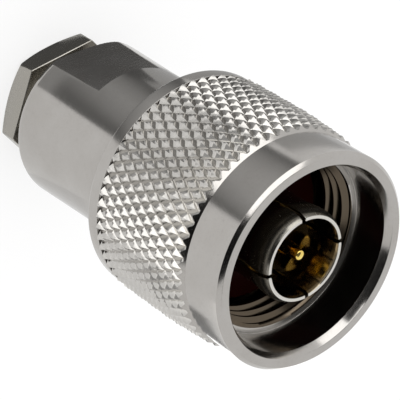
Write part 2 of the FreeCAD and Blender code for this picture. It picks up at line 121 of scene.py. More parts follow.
class NutSizes(bpy.types.PropertyGroup):
    face_inner: length("Face inner radius", 8.86, "Inner edge of the front face")
    ring_radius: length("Ring radius", 9.96, "Smooth front ring")
    ring_length: length("Ring length", 4.41, "From the mouth to the cone behind the ring")
    outer_chamfer: length("Outer chamfer", 0.32, "On the ring's front edge")
    cone_slope: factor("Cone slope", 0.85, "Rise of the cone between ring and knurl")
    crest_radius: length("Knurl crest radius", 10.64, "Tops of the diamonds")
    root_radius: length("Knurl root radius", 10.2, "Grooves between the diamonds")
    swell: factor("Knurl swell", 1.35, "1 for flat facets, and more for swollen ones")
    knurl_depth: length("Knurl depth", 4.9, "From the mouth to the first whole diamonds")
    rim_radius: length("Rim radius", 10.48, "Smooth rim behind the knurl")
    rim_length: length("Rim length", 1.5, "Length of that rim")
    rim_groove: length("Rim groove", 0.07, "Width and depth of the line between knurl and rim")
    rim_round: length("Rim rounding", 0.32, "Rounding of the rim's rear edge")
    socket_radius: length("Counterbore radius", 8.51, "In front of the thread")
    socket_chamfer: length("Counterbore chamfer", 0.67, "Depth of the chamfer inside the mouth")
    socket_depth: length("Counterbore depth", 4.15, "From the mouth to the thread")
    thread_minor: length("Thread minor radius", 7.42, "Crests of the coupling thread")
    thread_major: length("Thread major radius", 7.94, "Roots of the coupling thread")
    thread_pitch: length("Thread pitch", 1.0583, "Advance for each turn")
    thread_depth: length("Thread end", 7.75, "From the mouth to the thread's last turn")
    relief_radius: length("Relief radius", 8.1, "Behind the thread")
    relief_depth: length("Relief depth", 10.6, "From the mouth to the running bore")
    running_bore: length("Running bore", 7.7, "Radius of the bore that turns on the body")
    groove_radius: length("Ring groove radius", 8.42, "Groove for the retaining ring")
    diamonds: IntProperty(name="Diamonds", description="Diamonds round the knurl", default=60, min=8)
    diamond_rows: IntProperty(
        name="Diamond rows", description="Half diamonds along the knurl", default=11, min=2
    )
    knurl_turn: angle("Knurl turn", 0.15, "Direction of the first column of diamonds")
    lead: length("Knurl lead", 0.26, "How much lower the first diamonds are")
    lead_length: length("Knurl lead length", 4.0, "Length over which they rise to full height")
    edge: length("Edge rounding", 0.05, "Rounding of the turned edges")


class BodySizes(bpy.types.PropertyGroup):
    radius: length("Barrel radius", 7.65, "The barrel in the nut")
    rear_radius: length("Rear radius", 7.82, "The barrel at its rear end")
    taper: length("Taper length", 8.0, "Rear part that tapers out to that radius")
    rear_round: length("Rear rounding", 1.0, "Rounding of the rear edge")
    edge_chamfer: length("Edge chamfer", 0.25, "On the barrel's front edge")
    flat_width: length("Across flats", 13.7, "Across the two wrench flats")
    flat_length: length("Flat length", 7.53, "From the rear face to the shoulder")
    thread_radius: length("Rear thread radius", 5.35, "Bore for the clamp nut")
    thread_length: length("Rear thread length", 6.15, "Length of that bore")
    clamp_bore: length("Clamp bore", 5.2, "Smooth bore in front of the thread")
    line_radius: length("Line radius", 3.5, "Bore of the coaxial line")
    spigot_radius: length("Spigot socket", 4.6, "Socket that holds the sleeve")
    groove_radius: length("Ring groove radius", 6.88, "Groove for the retaining ring")
    edge: length("Edge rounding", 0.04, "Rounding of the front edges")


class SleeveSizes(bpy.types.PropertyGroup):
    tip_radius: length("Tip radius", 3.94, "Outside of the tip's end face")
    flare_radius: length("Flare radius", 4.28, "Widest part of the flare")
    flare_length: length("Flare length", 1.0, "From the tip to the widest part")
    flare_back: length("Flare back", 1.85, "From the widest part to the shank")
    bore_chamfer: length("Bore chamfer", 0.16, "Radial width of the chamfer in the tip's bore")
    shank_radius: length("Shank radius", 4.08, "Behind the flare")
    slot_width: length("Slot width", 0.35, "Width of each slot")
    slot_length: length("Slot length", 6.6, "Length of each slot")
    slot_turn: angle("Slot turn", 3.55, "Direction of the first slot")
    slots: IntProperty(name="Slots", description="Slots round the sleeve", default=4, min=1)
    edge: length("Edge rounding", 0.05, "Rounding of the finger's edges")


class PinSizes(bpy.types.PropertyGroup):
    tip_radius: length("Tip radius", 0.46, "Nose before it is rounded")
    radius: length("Pin radius", 0.82, "Contact part")
    nose: length("Nose length", 2.9, "Length of the taper")
    shoulder: length("Shoulder", 4.75, "From the tip to the shoulder")
    collar: length("Collar radius", 1.52, "Behind the shoulder")
    undercut: length("Undercut radius", 1.3, "Inside the front insulator")
    cup_radius: length("Cup radius", 0.75, "Bore for the conductor")
    cup_length: length("Cup length", 3.6, "Depth of that bore")


class GasketSizes(bpy.types.PropertyGroup):
    inner: length("Inner radius", 4.4, "Inside of the gasket")
    outer: length("Outer radius", 7.2, "Outside of the gasket")
    edge: length("Edge rounding", 0.3, "Rounding of its edges")


class ClampNutSizes(bpy.types.PropertyGroup):
    across_flats: length("Across flats", 11.9, "Hexagon across its flats")
    thickness: length("Thickness", 2.38, "Hexagon's thickness")
    chamfer: length("Corner chamfer", 0.95, "Radial width of the rear corners' chamfer")
    chamfer_angle: angle("Chamfer angle", 30, "Angle between that chamfer and the rear face")
    neck_radius: length("Neck radius", 5.3, "Crests of the neck's thread")
    neck_root: length("Neck root radius", 4.9, "Roots of the neck's thread")
    neck_pitch: length("Neck thread pitch", 0.907, "Advance for each turn")
    bore: length("Cable bore", 2.75, "Radius of the bore for the cable")
    bore_chamfer: length("Bore chamfer", 0.4, "Chamfer at the cable's entry")
    turn: angle("Hexagon turn", 8.4, "Direction of the first corner")
    edge: length("Edge break", 0.06, "Broken edge round the front of the hexagon")


class Finishes(bpy.types.PropertyGroup):
    nickel: colour("Nickel", 0.44, 0.425, 0.405, "Bright nickel plate")
    nickel_shade: colour("Shaded nickel", 0.35, 0.33, 0.305, "Slower plating in the recesses")
    clamp_nickel: colour("Clamp nut nickel", 0.37, 0.355, 0.315, "The clamp nut's warmer plate")
    # painted light: the knurl takes a lighter copy of the nut's nickel
    knurl_lit_nickel: colour("Knurl nickel", 0.53, 0.515, 0.49, "The knurl, polished by the roll")
    # painted shade: a near black copy of the nickel, standing for the shade deep in threads and bores
    painted_shade_nickel: colour("Inner nickel", 0.1, 0.08, 0.058, "Thin plate in threads and bores")
    sleeve_nickel: colour("Sleeve nickel", 0.42, 0.36, 0.26, "The slotted sleeve")
    # painted highlight: the sleeve's faced end is lighter than the rest, for the bright ring it
    # catches
    tip_highlight_nickel: colour("Tip nickel", 0.62, 0.6, 0.56, "The sleeve's freshly faced end")
    gold: colour("Gold", 0.88, 0.7, 0.22, "Gold plate on the pin")
    # the gasket is dark red, and its colour is darkened further as painted shade of the mouth's depths
    silicone: colour("Silicone", 0.016, 0.0015, 0.001, "Dark red gasket")
    insulator: colour("Insulator", 0.8, 0.79, 0.75, "White fluoropolymer")
    seal: colour("Seal", 0.02, 0.02, 0.022, "Black rubber")
    bronze: colour("Bronze", 0.58, 0.36, 0.2, "Spring bronze")


class StudioSetup(bpy.types.PropertyGroup):
    backdrop: colour("Backdrop", 1.0, 1.0, 1.0, "Floor and surroundings")
    camera_height: length("Camera height", 143.05, "Above the floor")
    camera_distance: length("Camera distance", 130.28, "From the plug's axis")
    camera_azimuth: angle("Camera azimuth", -44.25, "Direction of the camera from the axis")
    aim_height: length("Aim height", 22.424, "Height of the point that the camera looks at")
    aim_side: length("Aim side", 0.685, "That point's distance from the axis")
    roll: angle("Camera roll", 123.06, "Turn of the camera about its line of sight")
    lens: FloatProperty(name="Lens", description="Focal length", default=183.0, unit="CAMERA")
    world_level: factor("Surroundings", 1.15, "Light of the surroundings")


# ---------------------------------------------------------------- mesh making


def fillet(points, radius, steps=3):
    """Rounds each corner of an open (radius, height) line, and keeps its two ends."""
    line = [Vector(p) for p in points]
    out = [line[0]]
    for before, corner, after in zip(line, line[1:], line[2:]):
        into, away = before - corner, after - corner
        cut = radius / math.tan(into.angle(away) / 2)
        cut = min(cut, into.length * LONGEST_FILLET, away.length * LONGEST_FILLET)
        start, end = corner + into.normalized() * cut, corner + away.normalized() * cut
        for step in range(steps + 1):
            t = step / steps
            out.append(start * (1 - t) ** 2 + corner * 2 * t * (1 - t) + end * t**2)
    return [*out, line[-1]]


def add_object(name, data):
    item = bpy.data.objects.new(name, data)
    bpy.context.scene.collection.objects.link(item)
    return item


class Shell:
    """A mesh made of rings of vertices round the plug's axis, joined by bands of faces."""

    def __init__(self, columns=LATHE_COLUMNS, turn=0.0, angles=None):
        steps = np.arange(columns) / columns * math.tau + turn
        self.angles = steps if angles is None else np.array(angles)
        self.points, self.faces, self.smooth, self.slots = [], [], [], []

    def add(self, radius, angle, height):
        """Adds points, and returns their numbers."""
        start = sum(len(points) for points in self.points)
        radius, angle, height = np.broadcast_arrays(radius, angle, height)
        self.points.append(np.stack([radius * np.cos(angle), radius * np.sin(angle), height], axis=-1))
        return np.arange(start, start + len(radius))

    def ring(self, radius, height):
        """Adds one ring. Radius and height may vary with the angle."""
        return self.add(radius, self.angles, height)

    def band(self, low, high, slot=0):
        """Quads between two rings of vertices."""
        after_low, after_high = np.roll(low, -1), np.roll(high, -1)
        self.join(np.stack([low, after_low, after_high, high], axis=1), slot)

    def join(self, faces, slot=0, smooth=True):
        """Adds faces, as lists of the numbers of their points."""
        self.faces += [tuple(int(k) for k in face) for face in faces]
        self.smooth += [smooth] * len(faces)
        self.slots += [int(k) for k in np.broadcast_to(slot, len(faces))]

    def line(self, last, points, slot=0):
        """Turns a line of (radius, height) points on from the last ring, and returns its end."""
        for radius, height in points:
            ring = self.ring(radius, height)
            self.band(last, ring, slot)
            last = ring
        return last

    def start(self, points):
        """Turns the first line, and returns its first and last rings."""
        first = self.ring(*points[0])
        return first, self.line(first, points[1:])

    def finish(self, node, body, slot, *finishes):
        """Welds the rings, makes the piece that stands for a CAD node, and lets it ride."""
        name = f"{node}_detail"
        mesh = bpy.data.meshes.new(name)
        mesh.from_pydata(np.concatenate(self.points).tolist(), [], self.faces)
        mesh.polygons.foreach_set("use_smooth", self.smooth)
        mesh.polygons.foreach_set("material_index", self.slots)
        work = bmesh.new()
        work.from_mesh(mesh)
        bmesh.ops.remove_doubles(work, verts=work.verts, dist=WELD)
        bmesh.ops.recalc_face_normals(work, faces=work.faces)
        work.to_mesh(mesh)
        work.free()
        mesh.set_sharp_from_angle(angle=SHARP)
        for finish in finishes:
            mesh.materials.append(finish_of(finish))
        piece = add_object(name, mesh)
        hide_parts(node)
        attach(piece, body)


# Thread profiles: each share of the pitch, and where the surface is there between the thread's two
# radii, from 0 to 1.
COUPLING_THREAD = (
    (0.0, 0), (0.125, 0), (0.25, 0), (0.4063, 0.5), (0.5625, 1), (0.6875, 1), (0.8438, 0.5),
)
NECK_THREAD = (
    (0.0, 0), (0.125, 0), (0.28, 0.5), (0.4375, 1), (0.5625, 1), (0.6875, 1), (0.8438, 0.5),
)


def helix(shell, low, high, pitch, profile, radii, limit, slot=0):
    """Rings that follow a right-hand thread between two heights. Returns the first and last.

    Each ring climbs one pitch in a turn, so at the closing column every ring meets the one that is a
    pitch further on. Rings beyond either end are pressed flat on it. limit(radius, height) holds the
    thread back where it starts or ends.
    """
    shares, levels = (np.array(values) for values in zip(*profile))
    step = len(shares)
    turns = math.ceil((high - low) / pitch) + 2
    climb = np.arange(len(shell.angles)) / len(shell.angles)
    loop_shares, loop_levels = np.append(shares, 1.0), np.append(levels, levels[0])
    rings = []
    for turn in range(-1, turns):
        for share in shares:
            height = np.clip(low + pitch * (turn + share + climb), low, high)
            phase = np.mod((height - low) / pitch - climb, 1.0)
            radius = np.interp(np.interp(phase, loop_shares, loop_levels), (0, 1), radii)
            rings.append(shell.ring(limit(radius, height), height))
    last = len(rings) - 1
    for k in range(last):
        here, above = rings[k], rings[k + 1]
        low_next = np.append(here[1:], rings[min(k + step, last)][0])
        high_next = np.append(above[1:], rings[min(k + 1 + step, last)][0])
        shell.join(np.stack([here, low_next, high_next, above], axis=1), slot)
    return rings[0], rings[-1]


def ring_groove(surface, floor):
    """The retaining ring's groove, between a surface's radius and the groove's."""
    rear, front = RING_REAR - RING_ROOM, RING_FRONT + RING_ROOM
    return [(surface, rear), (floor, rear), (floor, front), (surface, front)]


# ---------------------------------------------------------------- materials


def both_ways(operation):
    """An operator between a Value and anything, and its reflected form."""
    def forward(self, other):
        return self.math(operation, self, other)

    def reflected(self, other):
        return self.math(operation, other, self)

    return forward, reflected


class Value:
    """A number in a material: a socket whose arithmetic adds Math nodes."""

    def __init__(self, tree, socket):
        self.tree = tree
        self.socket = socket

    def math(self, operation, *others):
        node = self.tree.nodes.new("ShaderNodeMath")
        node.operation = operation
        for socket, value in zip(node.inputs, others):
            if isinstance(value, Value):
                self.tree.links.new(value.socket, socket)
            else:
                socket.default_value = value
        return Value(self.tree, node.outputs[0])

    __add__, __radd__ = both_ways("ADD")
    __sub__, __rsub__ = both_ways("SUBTRACT")
    __mul__, __rmul__ = both_ways("MULTIPLY")
    __truediv__, __rtruediv__ = both_ways("DIVIDE")

    def clamped(self):
        return self.math("MINIMUM", self.math("MAXIMUM", self, 0.0), 1.0)


class Finish:
    """One material's node tree."""

    def __init__(self, tree):
        self.tree = tree
        tree.nodes.clear()

    def node(self, kind, settings=None, **sockets):
        """Adds a node: its settings first, then the values or links of its sockets.

        A socket's name is written with underscores, and a number such as _1 is its place.
        """
        node = self.tree.nodes.new(kind)
        for name, value in (settings or {}).items():
            if name == "stops":
                self.ramp(node, value)
            else:
                setattr(node, name, value)
        for name, value in sockets.items():
            key = int(name[1:]) if name[0] == "_" else name.replace("_", " ")
            self.feed(node.inputs[key], value)
        return node

    @staticmethod
    def ramp(node, stops):
        elements = node.color_ramp.elements
        while len(elements) < len(stops):
            elements.new(1.0)
        for element, (position, level) in zip(elements, stops):
            element.position = position
            element.color = (level, level, level, 1.0)

    def feed(self, socket, value):
        if isinstance(value, Value):
            self.tree.links.new(value.socket, socket)
        elif isinstance(value, bpy.types.NodeSocket):
            self.tree.links.new(value, socket)
        elif socket.type == "RGBA":
            socket.default_value = (*value, 1.0)
        else:
            socket.default_value = value

    def value(self, kind, output, settings=None, **sockets):
        return Value(self.tree, self.node(kind, settings, **sockets).outputs[output])

    def position(self):
        return self.node("ShaderNodeTexCoord").outputs["Object"]

    def axes(self):
        split = self.node("ShaderNodeSeparateXYZ", Vector=self.position())
        return [Value(self.tree, split.outputs[axis]) for axis in "XYZ"]

    def away(self):
        """Distance from the plug's axis."""
        x, y, _ = self.axes()
        square = x * x + y * y
        return square.math("SQRT", square)

    def turned(self):
        """Coordinates that only change along and away from the plug's axis, as tool marks do."""
        height = self.axes()[2]
        return self.node("ShaderNodeCombineXYZ", X=self.away(), Y=0.0, Z=height).outputs[0]

    def noise(self, vector, scale, detail=3.0, roughness=0.6):
        return self.value(
            "ShaderNodeTexNoise", "Fac", Vector=vector, Scale=scale, Detail=detail,
            Roughness=roughness,
        )

    def ramped(self, source, *stops):
        return self.value("ShaderNodeValToRGB", "Color", {"stops": stops}, Fac=source)

    def mixed(self, share, first, second):
        return self.node(
            "ShaderNodeMix", {"data_type": "RGBA"}, _0=share, _6=first, _7=second
        ).outputs[2]

    def bump(self, source, distance, **normal):
        """A relief that may lie on another one, given as Normal."""
        return self.node(
            "ShaderNodeBump", Height=source, Distance=distance, Strength=1.0, **normal
        ).outputs[0]

    def output(self, shader, kind="Material"):
        self.node(f"ShaderNodeOutput{kind}", Surface=shader.outputs[0])

    def surface(self, **sockets):
        self.output(self.node("ShaderNodeBsdfPrincipled", **sockets))

    def glow(self, tone, strength=1.0):
        return self.node("ShaderNodeEmission", Color=tone, Strength=strength)


WHITE = (1.0, 1.0, 1.0)
# The knurl's grooves, lightened against their shade as painted light, brighter than the diamonds'
# tops.
GROOVE_RADIUS = 10.28 * MM
GROOVE_SPAN = 0.22 * MM
GROOVE_LIGHT_TONE = (0.72, 0.7, 0.66)
GROOVE_LIGHT_SHARE = 0.6


def new_material(name):
    material = bpy.data.materials.new(name)
    material.use_nodes = True
    return material, Finish(material.node_tree)


def nickel(name, bright, shade, rough, marks=1.0, grooves=False):
    """Nickel plate over turned brass: fine rings from the tool, soft clouding and specks.

    marks is how strong all of that is.
    """
    material, make = new_material(name)
    rings = make.turned()
    spot = make.position()
    coarse = make.noise(rings, 2600.0)
    fine = make.noise(rings, 11000.0, detail=2.0)
    cloud = make.noise(spot, 260.0, detail=4.0)
    speck = make.noise(spot, 3800.0, roughness=0.65)
    tone = make.ramped(cloud, (0.25, 0.0), (0.75, 1.0))
    grime = make.ramped(speck, (0.55, 0.0), (0.8, 1.0))
    base = make.mixed((tone * 0.45 + grime * 0.35).clamped(), bright, shade)
    # painted light: lightens the colour inside the knurl's grooves, where shade falls
    if grooves:
        depth = (GROOVE_RADIUS - make.away()) / GROOVE_SPAN
        base = make.mixed(depth.clamped() * GROOVE_LIGHT_SHARE, base, GROOVE_LIGHT_TONE)
    roughness = rough + (coarse * 0.08 + (cloud - 0.5) * 0.1 + grime * 0.08) * marks
    relief = make.bump(coarse * 0.6 + fine * 0.4, 0.9e-6 * marks)
    relief = make.bump(cloud, 1.5e-6 * marks, Normal=relief)
    make.surface(Base_Color=base, Metallic=1.0, Roughness=roughness.clamped(), Normal=relief)
    return material


def milled_nickel(name, bright, shade):
    """The wrench flats: nickel over straight cutter marks, which run across the axis."""
    material, make = new_material(name)
    across, _, along = make.axes()
    lines = make.node("ShaderNodeCombineXYZ", X=across * 0.06, Y=0.0, Z=along).outputs[0]
    cut = make.noise(lines, 5200.0)
    cloud = make.noise(make.position(), 320.0, detail=4.0)
    base = make.mixed(make.ramped(cloud, (0.3, 0.0), (0.75, 0.8)), bright, shade)
    make.surface(
        Base_Color=base, Metallic=1.0, Roughness=(0.2 + cut * 0.12).clamped(),
        Normal=make.bump(cut, 1.1e-6),
    )
    return material


def gold_plate(name, bright):
    """Polished gold over a turned pin, deeper in tone where the plate is thick."""
    material, make = new_material(name)
    rings = make.noise(make.turned(), 4200.0)
    cloud = make.noise(make.position(), 900.0)
    deep = tuple(level * share for level, share in zip(bright, (0.82, 0.7, 0.5)))
    base = make.mixed(make.ramped(cloud, (0.3, 0.0), (0.8, 1.0)), bright, deep)
    make.surface(
        Base_Color=base, Metallic=1.0, Roughness=(0.05 + rings * 0.05).clamped(),
        Normal=make.bump(rings, 0.8e-6),
    )
    return material


def moulded(name, shade, rough, relief, shine=0.5):
    """A moulded or turned soft piece: slightly uneven in tone, with a fine skin."""
    material, make = new_material(name)
    skin = make.noise(make.position(), 5200.0, detail=4.0)
    cloud = make.noise(make.position(), 420.0, roughness=0.55)
    darker = tuple(level * 0.72 for level in shade)
    base = make.mixed(make.ramped(cloud, (0.3, 0.0), (0.75, 1.0)), shade, darker)
    make.surface(
        Base_Color=base, Roughness=(rough + (skin - 0.5) * 0.2).clamped(),
        Specular_IOR_Level=shine, Normal=make.bump(skin, relief),
    )
    return material


def finish_of(name):
    """The finish of that name, made on first use."""
    label = f"{name}_finish"
    if label in bpy.data.materials:
        return bpy.data.materials[label]
    tones = bpy.context.scene.plug_finishes
    # inner is the painted shade colour of threads and bores; the sleeve's finishes also take it as
    # their darker tone
    plain, shade, inner = tones.nickel, tones.nickel_shade, tones.painted_shade_nickel
    makers = {
        "bright_nickel": lambda: nickel(label, plain, shade, 0.12),
        # painted light: the knurl's lighter copy of the nickel, with its grooves lighter still
        "knurled_nickel": lambda: nickel(label, tones.knurl_lit_nickel, plain, 0.16, 0.6, grooves=True),
        "milled_nickel": lambda: milled_nickel(label, plain, shade),
        # painted shade, for threads and bores
        "painted_shade_nickel": lambda: nickel(label, inner, inner, 0.13),
        "clamp_nickel": lambda: nickel(label, tones.clamp_nickel, shade, 0.22),
        "sleeve_nickel": lambda: nickel(label, tones.sleeve_nickel, inner, 0.07, 0.5),
        "flare_nickel": lambda: nickel(label, tones.clamp_nickel, inner, 0.19),
        # painted highlight on the sleeve's faced end
        "tip_highlight_nickel": lambda: nickel(label, tones.tip_highlight_nickel, tones.tip_highlight_nickel, 0.2, 0.6),
        "gold_plate": lambda: gold_plate(label, tones.gold),
        "spring_bronze": lambda: nickel(label, tones.bronze, tones.bronze, 0.3),
        "red_silicone": lambda: moulded(label, tones.silicone, 0.4, 4e-6, 0.03),
        "white_fluoropolymer": lambda: moulded(label, tones.insulator, 0.5, 3e-6),
        "black_rubber": lambda: moulded(label, tones.seal, 0.75, 8e-6),
    }
    return makers[name]()


# ---------------------------------------------------------------- pieces


CELLS = 4  # mesh cells to each half diamond of the knurl, both ways
HALVINGS = 20  # steps of the search for the knurl's edge on the cone


def knurl_rings(shell, last, sizes):
    """The diamond knurl, from the cone in front of it to the rim. Returns its last ring.

    Rows are counted in half diamonds from the first corner of a whole one. Every diamond rises from
    its grooves in four slightly swollen facets.
    """
    half = (MOUTH - sizes.knurl_depth - NUT_REAR - sizes.rim_length) / sizes.diamond_rows
    start = MOUTH - sizes.knurl_depth
    cone_front = MOUTH - sizes.ring_length
    across = np.abs(np.mod(np.arange(len(shell.angles)) / CELLS + 1, 2) - 1)

    def radius(row):
        # 0 in the grooves and 1 on the tops of the diamonds
        peak = np.where(
            np.asarray(row) < 0,
            np.maximum(across, -row),
            np.abs(across + np.abs(np.mod(row, 2) - 1) - 1),
        )
        level = 1 - (1 - peak) ** sizes.swell
        lead = np.clip(1 - np.maximum(row, 0) * half / sizes.lead_length, 0, 1) * sizes.lead
        return sizes.root_radius - lead + level * (sizes.crest_radius - sizes.root_radius)

    def cone(row):
        return sizes.ring_radius + sizes.cone_slope * (cone_front - start + row * half)

    # the row at which each column of the knurl leaves the cone
    low = np.full(across.shape, (start - cone_front) / half)
    high = np.zeros(across.shape)
    for _ in range(HALVINGS):
        middle = (low + high) / 2
        above = radius(middle) > cone(middle)
        low, high = np.where(above, middle, low), np.where(above, high, middle)
    ring = shell.ring(cone(low), start - low * half)
    shell.band(last, ring)
    last = ring
    rows = [(0, low * (1 - step / CELLS)) for step in range(1, CELLS + 1)]
    rows += [(step, step / CELLS) for step in range(1, sizes.diamond_rows * CELLS + 1)]
    for step, row in rows:
        ring = shell.ring(radius(row), start - row * half)
        split_band(shell, last, ring, step)
        last = ring
    return last


def split_band(shell, low, high, step):
    """Triangles between two rings of the knurl, split along the diamonds' own edges."""
    columns = np.arange(len(low))
    after = np.roll(columns, -1)
    rises = (columns // CELLS + (step - 1) // CELLS) % 2 == 1
    a, b, c, d = low, low[after], high[after], high
    first = np.where(rises[:, None], np.stack([a, b, d], 1), np.stack([a, b, c], 1))
    second = np.where(rises[:, None], np.stack([b, c, d], 1), np.stack([a, c, d], 1))
    shell.join(np.concatenate([first, second]), slot=1)


def make_coupling_nut(sizes):
    shell = Shell(sizes.diamonds * 2 * CELLS, sizes.knurl_turn)
    edge = sizes.edge
    mouth_edge = ((sizes.face_inner + sizes.socket_radius) / 2, MOUTH - sizes.socket_chamfer / 2)
    first, last = shell.start(fillet([
        mouth_edge,
        (sizes.face_inner, MOUTH),
        (sizes.ring_radius - sizes.outer_chamfer, MOUTH),
        (sizes.ring_radius, MOUTH - sizes.outer_chamfer),
        (sizes.ring_radius, MOUTH - sizes.ring_length),
    ], edge))
    last = knurl_rings(shell, last, sizes)

    knurl_end = NUT_REAR + sizes.rim_length
    groove = knurl_end - sizes.rim_groove
    floor = sizes.root_radius - sizes.rim_groove
    front = fillet([(floor, groove), (sizes.rim_radius, groove), (sizes.rim_radius, NUT_REAR)], edge)
    bottom, top = MOUTH - sizes.thread_depth, MOUTH - sizes.socket_depth
    lip, land = 0.15 * MM, 0.5 * MM
    rear = fillet([
        (sizes.rim_radius, NUT_REAR + sizes.rim_length / 2),
        (sizes.rim_radius, NUT_REAR),
        (sizes.running_bore + land, NUT_REAR),
    ], sizes.rim_round, 5)
    last = shell.line(last, [(floor, knurl_end), (floor, groove), *front[1:-1], *rear[1:]])
    last = shell.line(last, [
        (sizes.running_bore + lip, NUT_REAR),
        (sizes.running_bore, NUT_REAR + lip),
        *ring_groove(sizes.running_bore, sizes.groove_radius),
        (sizes.running_bore, MOUTH - sizes.relief_depth),
        (sizes.relief_radius, MOUTH - sizes.relief_depth),
        (sizes.relief_radius, bottom),
    ], slot=2)

    widest = sizes.thread_major + 0.02 * MM

    def lead_in(radius, height):
        return np.maximum(radius, widest - (top - height) * RUN_OUT)

    radii = (sizes.thread_minor, sizes.thread_major)
    low, high = helix(
        shell, bottom, top, sizes.thread_pitch, COUPLING_THREAD, radii, lead_in, slot=2
    )
    shell.band(last, low, slot=2)
    socket = fillet([
        (widest, top),
        (sizes.socket_radius, top),
        (sizes.socket_radius, MOUTH - sizes.socket_chamfer),
        mouth_edge,
    ], edge)
    shell.band(shell.line(high, socket[1:-1]), first)
    shell.finish(
        "coupling_nut", "coupling", "nickel_plate", "bright_nickel", "knurled_nickel", "painted_shade_nickel"
    )


def barrel_radius(sizes, height):
    """The barrel's radius outside the nut, where it tapers."""
    share = min(max((height - BODY_REAR) / sizes.taper, 0), 1)
    return sizes.rear_radius + (sizes.radius - sizes.rear_radius) * share


def columns_with_flats(half):
    """Directions round the barrel, with one at each corner of its flats in place of any close by."""
    normals = (math.pi / 2, 3 * math.pi / 2)
    corners = [normal + side * half for normal in normals for side in (-1, 1)]
    nearest = 0.004
    turns = np.linspace(0, math.tau, LATHE_COLUMNS, endpoint=False)
    turns = [a for a in turns if min(abs(a - corner) for corner in corners) > nearest]
    return sorted([*turns, *corners])


def make_plug_body(sizes):
    """The barrel, tapering out to its rounded rear edge, with two flats."""
    half_flat = sizes.flat_width / 2
    shoulder = BODY_REAR + sizes.flat_length
    at_shoulder = barrel_radius(sizes, shoulder)
    shell = Shell(angles=columns_with_flats(math.acos(half_flat / at_shoulder)))
    tiny = 1e-6
    flat = half_flat / np.maximum(np.abs(np.sin(shell.angles)), tiny)
    bore_chamfer = 0.3 * MM
    first, last = shell.start([
        (sizes.spigot_radius, BODY_FRONT - sizes.edge_chamfer),
        (sizes.spigot_radius, SLEEVE_FOOT),
        (sizes.line_radius, SLEEVE_FOOT),
        (sizes.line_radius, SEAT_FRONT),
        (SEAT_RADIUS, SEAT_FRONT),
        (SEAT_RADIUS, SEAT_REAR),
        (sizes.clamp_bore, SEAT_REAR),
        (sizes.clamp_bore, BODY_REAR + sizes.thread_length),
        (sizes.thread_radius, BODY_REAR + sizes.thread_length),
        (sizes.thread_radius, BODY_REAR + bore_chamfer),
        (sizes.thread_radius + bore_chamfer, BODY_REAR),
    ])
    low = BODY_REAR + sizes.rear_round
    start = barrel_radius(sizes, low) - sizes.rear_round
    rear = [
        (start + sizes.rear_round * math.sin(t), low - sizes.rear_round * math.cos(t))
        for t in np.linspace(0, math.pi / 2, 13)
    ]
    rear += [(barrel_radius(sizes, height), height) for height in np.linspace(low, shoulder, 9)[1:]]
    for radius, height in rear:
        ring = shell.ring(np.minimum(radius, flat), height)
        on_flat = flat < radius
        shell.band(last, ring, on_flat & np.roll(on_flat, -1))
        last = ring
    groove = ring_groove(sizes.radius, sizes.groove_radius)
    front = fillet([
        groove[-1],
        (sizes.radius, BODY_FRONT - sizes.edge_chamfer),
        (sizes.radius - sizes.edge_chamfer, BODY_FRONT),
        (sizes.spigot_radius, BODY_FRONT),
        (sizes.spigot_radius, BODY_FRONT - sizes.edge_chamfer),
    ], sizes.edge)
    last = shell.line(last, [
        (at_shoulder, shoulder),
        (sizes.radius, BODY_REAR + sizes.taper),
        *groove,
        *front[1:-1],
    ])
    shell.band(last, first)
    shell.finish("plug_body", "plug", "nickel_plate", "bright_nickel", "milled_nickel")


def bulge(radius, height, end_radius, end_height, steps=8):
    """A rounded outline from its widest point to a smaller radius at another height."""
    rise = end_height - height
    full = 2 * math.atan2(radius - end_radius, abs(rise))
    bend = abs(rise) / math.sin(full)
    turns = [full * step / steps for step in range(steps + 1)]
    side = math.copysign(bend, rise)
    return [(radius - bend * (1 - math.cos(t)), height + side * math.sin(t)) for t in turns]


FINGER_COLUMNS = 72


def make_contact_sleeve(sizes):
    """A tube below the slots, and above them one closed finger between each two slots."""
    floor = SLEEVE_TIP - sizes.slot_length
    widest = SLEEVE_TIP - sizes.flare_length
    neck = widest - sizes.flare_back
    inner = bpy.context.scene.plug_body.line_radius
    shell = Shell(288, sizes.slot_turn)
    shell.start([
        (inner, floor),
        (sizes.shank_radius, floor),
        (sizes.shank_radius, BODY_FRONT),
        (SLEEVE_SEAT, BODY_FRONT),
        (SLEEVE_SEAT, SLEEVE_FOOT),
        (BEAD_RADIUS, SLEEVE_FOOT),
        (BEAD_RADIUS, BEAD_FRONT),
        (inner, BEAD_FRONT),
        (inner, floor),
    ])
    outline = [
        (inner, floor),
        (inner, SLEEVE_TIP - 2 * sizes.bore_chamfer),
        (inner + sizes.bore_chamfer, SLEEVE_TIP),
        *bulge(sizes.flare_radius, widest, sizes.tip_radius, SLEEVE_TIP)[::-1],
        *bulge(sizes.flare_radius, widest, sizes.shank_radius, neck),
        (sizes.shank_radius, floor),
    ]
    # the long edges of a finger are drawn in over their outermost columns
    near = np.array([0, 0.004, 0.009])
    drawn = np.array([0.6, 0.21, 0]) * sizes.edge
    columns = np.linspace(0, 1, FINGER_COLUMNS + 1)[1:-1]
    share = np.concatenate([near, columns, 1 - near[::-1]])
    inset = np.concatenate([drawn, np.zeros(len(columns)), drawn[::-1]])
    middle = (inner + sizes.shank_radius) / 2
    finger = math.tau / sizes.slots
    for k in range(sizes.slots):
        rows = []
        for radius, height in outline:
            pulled = radius + math.copysign(1, middle - radius) * inset
            gap = math.asin(sizes.slot_width / 2 / pulled[0])
            turn = sizes.slot_turn + finger * k + gap + share * (finger - 2 * gap)
            rows.append(shell.add(pulled, turn, height - inset * (height > neck)))
        for row, (below, above) in enumerate(zip(rows, rows[1:])):
            # the bore and its chamfer, then the faced end, then the outside
            slot = min(max(row - 1, 0), 2)
            shell.join(np.stack([below[:-1], below[1:], above[1:], above[:-1]], axis=1), slot)
        shell.join([[row[side] for row in rows] for side in (0, -1)], smooth=False)
    shell.finish(
        "contact_sleeve", "plug", "nickel_plate", "sleeve_nickel", "tip_highlight_nickel", "flare_nickel"
    )


